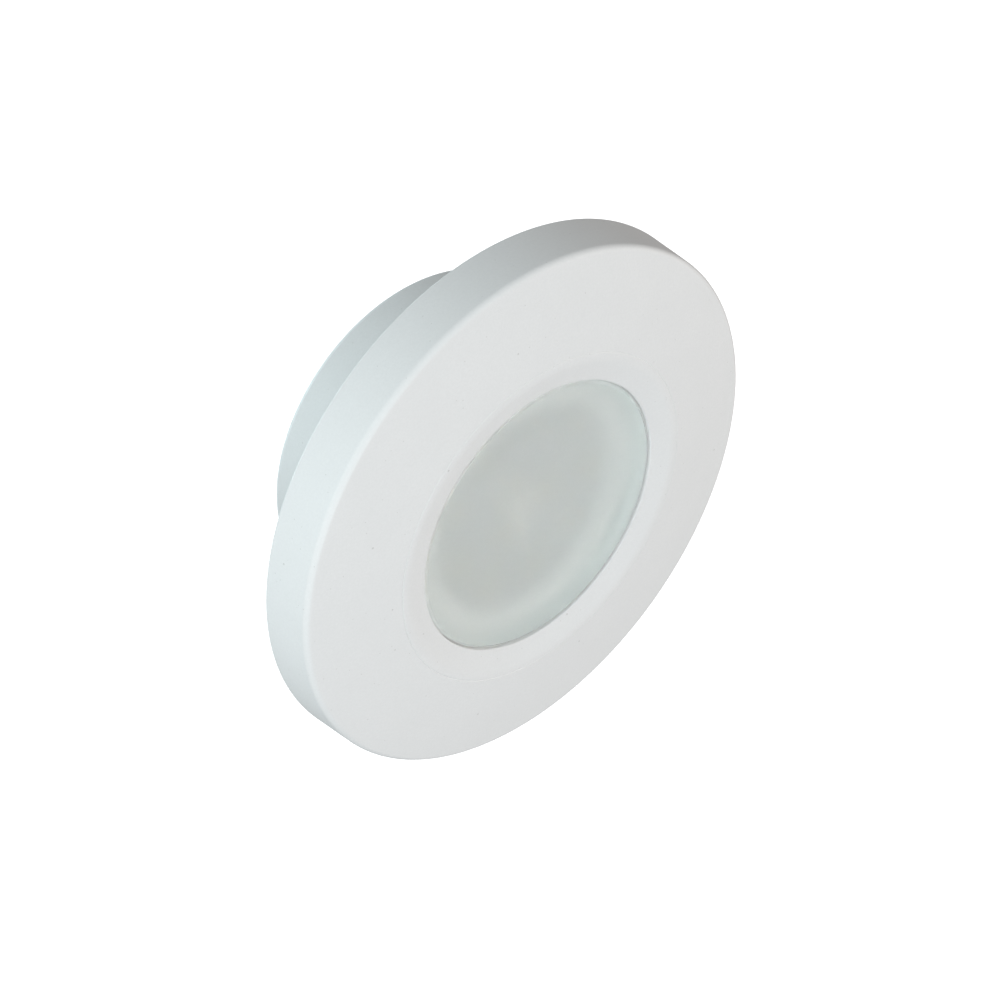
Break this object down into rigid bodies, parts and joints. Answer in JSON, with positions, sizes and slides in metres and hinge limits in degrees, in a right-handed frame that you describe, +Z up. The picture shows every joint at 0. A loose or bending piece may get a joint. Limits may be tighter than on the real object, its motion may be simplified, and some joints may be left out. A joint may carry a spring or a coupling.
{
  "type": "underwater pool light",
  "caption": "Small round surface-mounted pool light: domed twist-lock bezel, frosted lens, flanged cylindrical housing with an LED module, driver and rear cable gland.",
  "frame": {"origin": "on the light's axis, in the plane of the pool wall's surface, which the wall gasket's rear face touches", "axes": "-Y is the way the light shines, out of the wall into the pool; +Y goes into the wall; +Z is up"},
  "size_m": [0.1116, 0.0549, 0.1115],
  "materials": {
    "bezel_plastic": "satin white UV-stable ABS, faint moulding texture",
    "housing_plastic": "satin white ABS",
    "frosted_lens": "frosted polycarbonate with a slight green cast",
    "seal_rubber": "matt black nitrile rubber",
    "clamp_plastic": "satin white glass-filled nylon",
    "lens_seal_silicone": "matt off-white silicone",
    "stainless_steel": "turned stainless steel",
    "reflector_white": "matt white polycarbonate, light grey down the well",
    "led_board_mask": "pale grey solder mask on an aluminium-cored board",
    "led_phosphor": "yellow phosphor in a white package",
    "thermal_pad": "soft blue-grey gap filler",
    "aluminium": "satin die-cast and drawn aluminium",
    "driver_board_green": "green solder mask",
    "brass": "plain turned brass",
    "black_epoxy": "matt moulded epoxy",
    "ferrite": "dull pressed ferrite",
    "terminal_plastic": "satin green polyamide",
    "red_insulation": "satin silicone insulation",
    "black_insulation": "satin silicone insulation",
    "gland_nylon": "satin light grey-white nylon"
  },
  "bodies": {
    "housing": {"bridge_rectifier": "black_epoxy", "capacitor_1": "aluminium", "capacitor_2": "aluminium", "clamp_screw_1": "stainless_steel", "clamp_screw_2": "stainless_steel", "clamp_screw_3": "stainless_steel", "clamp_screw_4": "stainless_steel", "clamp_screw_5": "stainless_steel", "clamp_screw_6": "stainless_steel", "driver_board": "driver_board_green", "driver_chip": "black_epoxy", "driver_screw_1": "stainless_steel", "driver_screw_2": "stainless_steel", "driver_screw_3": "stainless_steel", "driver_standoff_1": "brass", "driver_standoff_2": "brass", "driver_standoff_3": "brass", "gland_body": "gland_nylon", "gland_locknut": "gland_nylon", "gland_nut": "gland_nylon", "gland_oring": "seal_rubber", "gland_seal": "seal_rubber", "heat_sink": "aluminium", "housing": "housing_plastic", "inductor": "ferrite", "led_1": "led_phosphor", "led_10": "led_phosphor", "led_11": "led_phosphor", "led_12": "led_phosphor", "led_2": "led_phosphor", "led_3": "led_phosphor", "led_4": "led_phosphor", "led_5": "led_phosphor", "led_6": "led_phosphor", "led_7": "led_phosphor", "led_8": "led_phosphor", "led_9": "led_phosphor", "led_board": "led_board_mask", "led_lead_black": "black_insulation", "led_lead_red": "red_insulation", "lens": "frosted_lens", "lens_clamp_ring": "clamp_plastic", "lens_seal": "lens_seal_silicone", "module_screw_1": "stainless_steel", "module_screw_2": "stainless_steel", "module_screw_3": "stainless_steel", "reflector": "reflector_white", "terminal_block": "terminal_plastic", "terminal_screw_1": "stainless_steel", "terminal_screw_2": "stainless_steel", "thermal_pad": "thermal_pad", "wall_gasket": "seal_rubber"},
    "bezel": {"bezel": "bezel_plastic"}
  },
  "joints": [
    {"name": "bezel_twist", "type": "hinge", "parent": "housing", "child": "bezel", "pos_m": [0, 0, 0], "axis": [0, -1, 0], "range_deg": [0, 30]}
  ]
}
